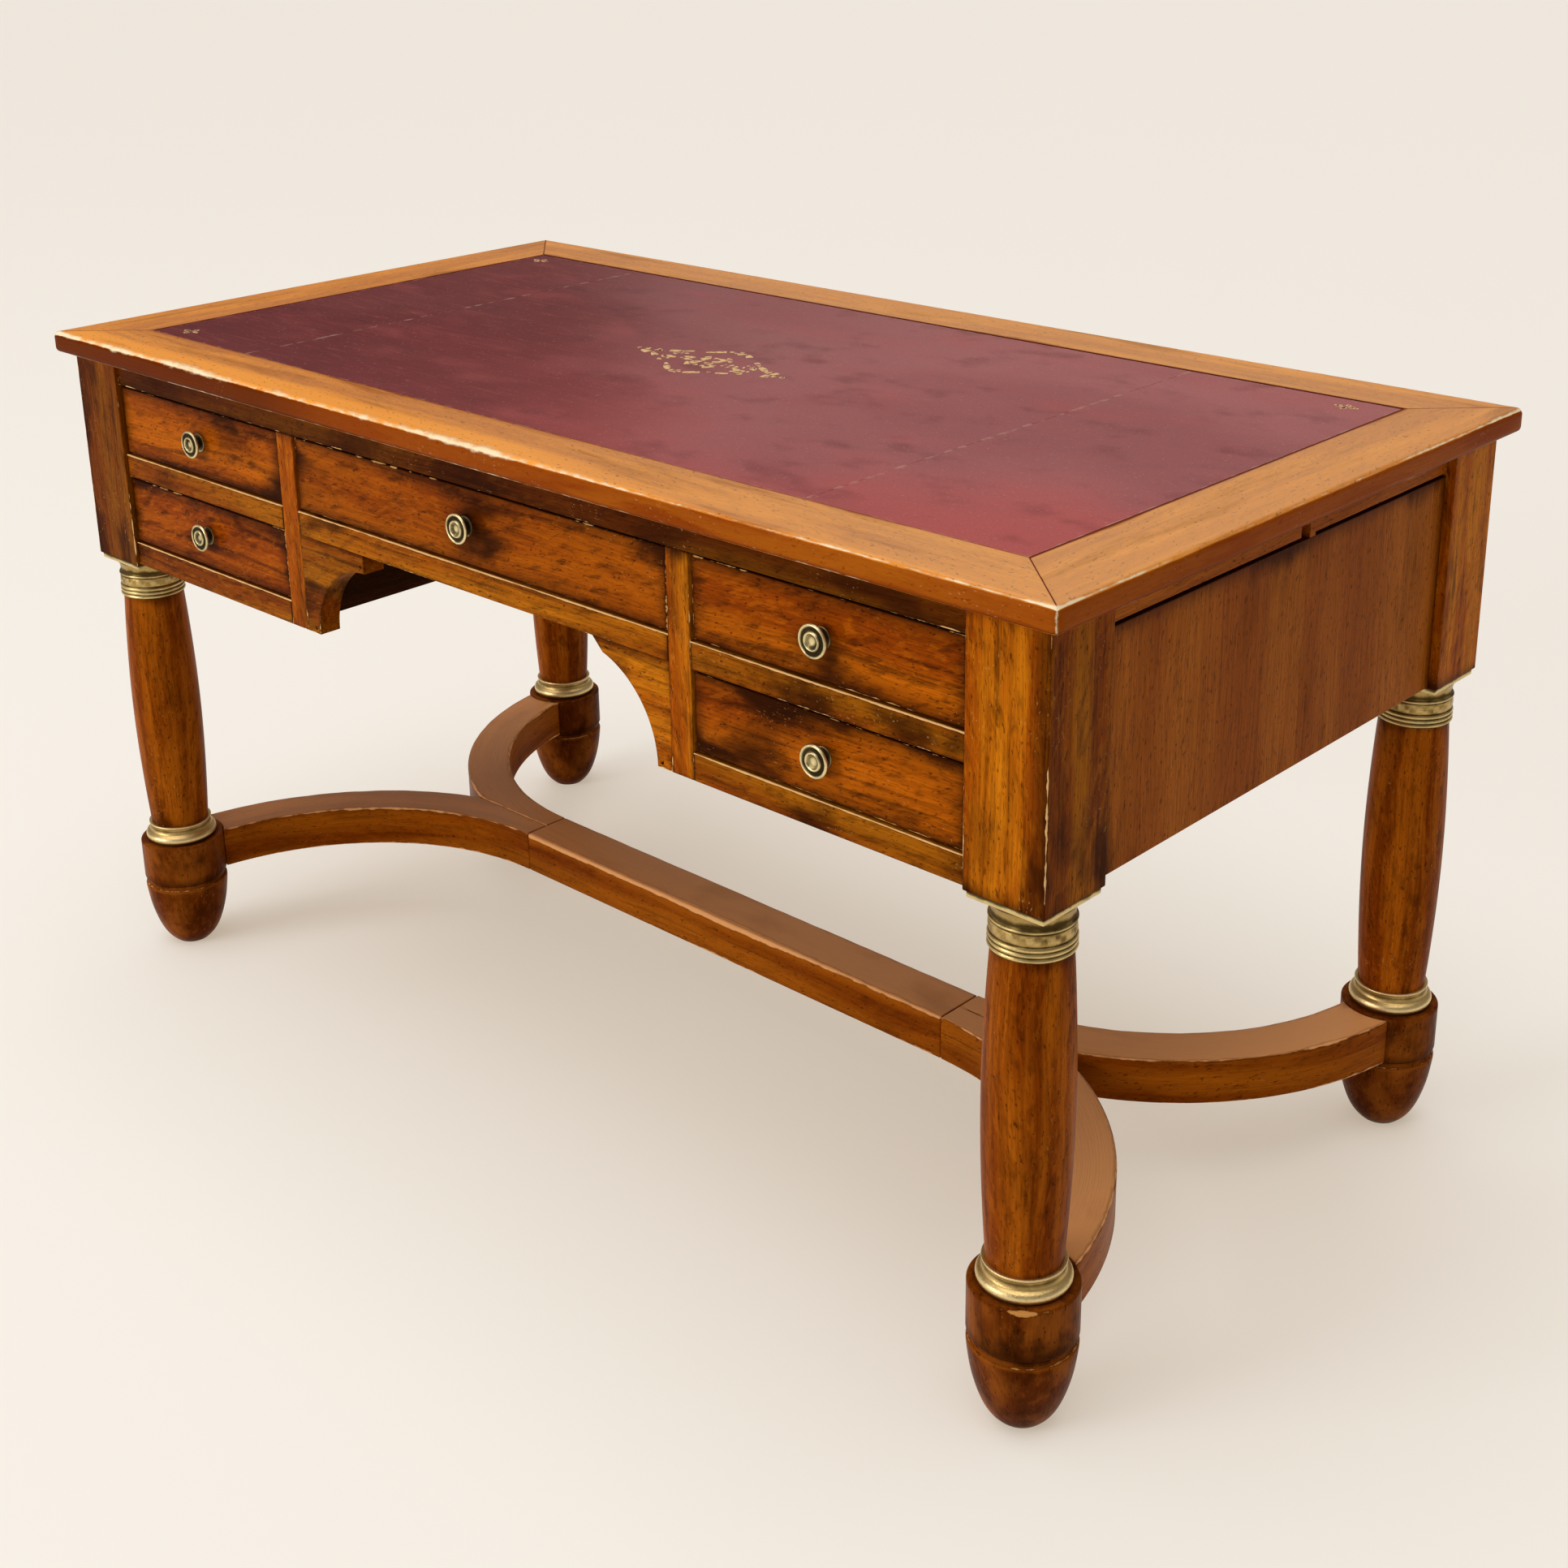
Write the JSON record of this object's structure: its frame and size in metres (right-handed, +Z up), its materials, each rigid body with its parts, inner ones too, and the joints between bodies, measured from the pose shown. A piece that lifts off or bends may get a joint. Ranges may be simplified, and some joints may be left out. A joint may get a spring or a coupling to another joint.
{
  "type": "writing desk",
  "caption": "Writing desk with a leather-lined top, drawers over and beside the kneehole, swelling round column legs with brass rings, rounded feet and a curved stretcher.",
  "frame": {"origin": "on the floor under the middle of the top", "axes": "+X along the desk's length to the right as seen from the sitter's side, -Y towards the sitter (drawer fronts), +Z up"},
  "size_m": [1.428, 0.748, 0.78],
  "materials": {
    "border_veneer": "worn satin varnish",
    "leather": "aged, lightly scuffed",
    "core_wood": "plain, hidden",
    "case_wood": "satin varnish",
    "inner_wood": "plain",
    "aged_brass": "aged, scratched",
    "leg_wood": "satin varnish, worn edges",
    "drawer_front_wood": "satin varnish",
    "knob_brass": "aged, dull"
  },
  "bodies": {
    "case": {"top_border_front": "border_veneer", "top_border_rear": "border_veneer", "top_border_left": "border_veneer", "top_border_right": "border_veneer", "leather_panels": "leather", "top_core": "core_wood", "post_front_left": "case_wood", "post_front_right": "case_wood", "post_rear_left": "case_wood", "post_rear_right": "case_wood", "front_top_rail": "case_wood", "centre_rail": "case_wood", "drawer_rails": "case_wood", "divider_left": "case_wood", "divider_right": "case_wood", "bracket_left": "case_wood", "bracket_right": "case_wood", "side_panel_left": "case_wood", "side_panel_right": "case_wood", "side_rail_left": "case_wood", "side_rail_right": "case_wood", "kneehole_walls": "case_wood", "back_rail": "case_wood", "back_panel_left": "case_wood", "back_panel_right": "case_wood", "back_panel_centre": "case_wood", "drawer_runners": "inner_wood", "guide_strips": "inner_wood", "drawer_kickers": "inner_wood", "drawer_stops": "inner_wood", "capitals": "aged_brass", "base_rings": "aged_brass", "columns": "leg_wood", "leg_blocks": "leg_wood", "feet": "leg_wood", "stretcher_arm_front_left": "leg_wood", "stretcher_arm_front_right": "leg_wood", "stretcher_arm_rear_left": "leg_wood", "stretcher_arm_rear_right": "leg_wood", "stretcher_bar": "leg_wood"},
    "drawer_centre": {"drawer_centre_front": "drawer_front_wood", "drawer_centre_walls": "inner_wood", "drawer_centre_bottom": "inner_wood", "drawer_centre_knob": "knob_brass"},
    "drawer_upper_left": {"drawer_upper_left_front": "drawer_front_wood", "drawer_upper_left_walls": "inner_wood", "drawer_upper_left_bottom": "inner_wood", "drawer_upper_left_knob": "knob_brass"},
    "drawer_lower_left": {"drawer_lower_left_front": "drawer_front_wood", "drawer_lower_left_walls": "inner_wood", "drawer_lower_left_bottom": "inner_wood", "drawer_lower_left_knob": "knob_brass"},
    "drawer_upper_right": {"drawer_upper_right_front": "drawer_front_wood", "drawer_upper_right_walls": "inner_wood", "drawer_upper_right_bottom": "inner_wood", "drawer_upper_right_knob": "knob_brass"},
    "drawer_lower_right": {"drawer_lower_right_front": "drawer_front_wood", "drawer_lower_right_walls": "inner_wood", "drawer_lower_right_bottom": "inner_wood", "drawer_lower_right_knob": "knob_brass"}
  },
  "joints": [
    {"name": "drawer_centre_slide", "type": "slide", "parent": "case", "child": "drawer_centre", "axis": [0, -1, 0], "range_m": [0, 0.4]},
    {"name": "drawer_upper_left_slide", "type": "slide", "parent": "case", "child": "drawer_upper_left", "axis": [0, -1, 0], "range_m": [0, 0.4]},
    {"name": "drawer_lower_left_slide", "type": "slide", "parent": "case", "child": "drawer_lower_left", "axis": [0, -1, 0], "range_m": [0, 0.4]},
    {"name": "drawer_upper_right_slide", "type": "slide", "parent": "case", "child": "drawer_upper_right", "axis": [0, -1, 0], "range_m": [0, 0.4]},
    {"name": "drawer_lower_right_slide", "type": "slide", "parent": "case", "child": "drawer_lower_right", "axis": [0, -1, 0], "range_m": [0, 0.4]}
  ]
}
